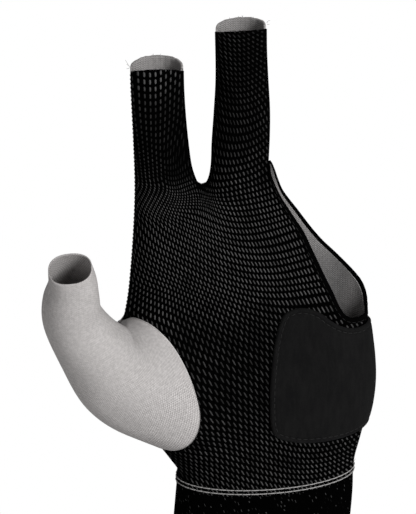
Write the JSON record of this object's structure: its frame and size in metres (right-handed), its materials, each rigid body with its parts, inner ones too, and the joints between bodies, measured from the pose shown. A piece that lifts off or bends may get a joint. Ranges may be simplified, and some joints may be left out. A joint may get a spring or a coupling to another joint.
{
  "type": "billiard glove",
  "caption": "Knit glove with open thumb, index and middle sleeves, a bound opening for the other fingers, a heel pad and a wrist band.",
  "frame": {"origin": "middle of the wrist opening at the cuff's lower edge, where the hand goes in", "axes": "+Z along the hand to the fingertips, palm facing -Y, thumb toward -X and little finger toward +X"},
  "size_m": [0.1232, 0.0785, 0.2026],
  "materials": {
    "black_mesh_knit": "stretch mesh knit with rows of short grey dashes",
    "grey_jersey": "fine stretch jersey",
    "pad_suede": "matte brushed microfibre",
    "black_tape": "folded binding tape",
    "cuff_knit": "black knit with sparse faint flecks"
  },
  "bodies": {
    "root": {"palm_panel": "black_mesh_knit", "back_panel": "grey_jersey", "thumb_sleeve": "grey_jersey", "heel_pad": "pad_suede", "opening_binding": "black_tape", "wrist_cuff": "cuff_knit"}
  },
  "joints": []
}
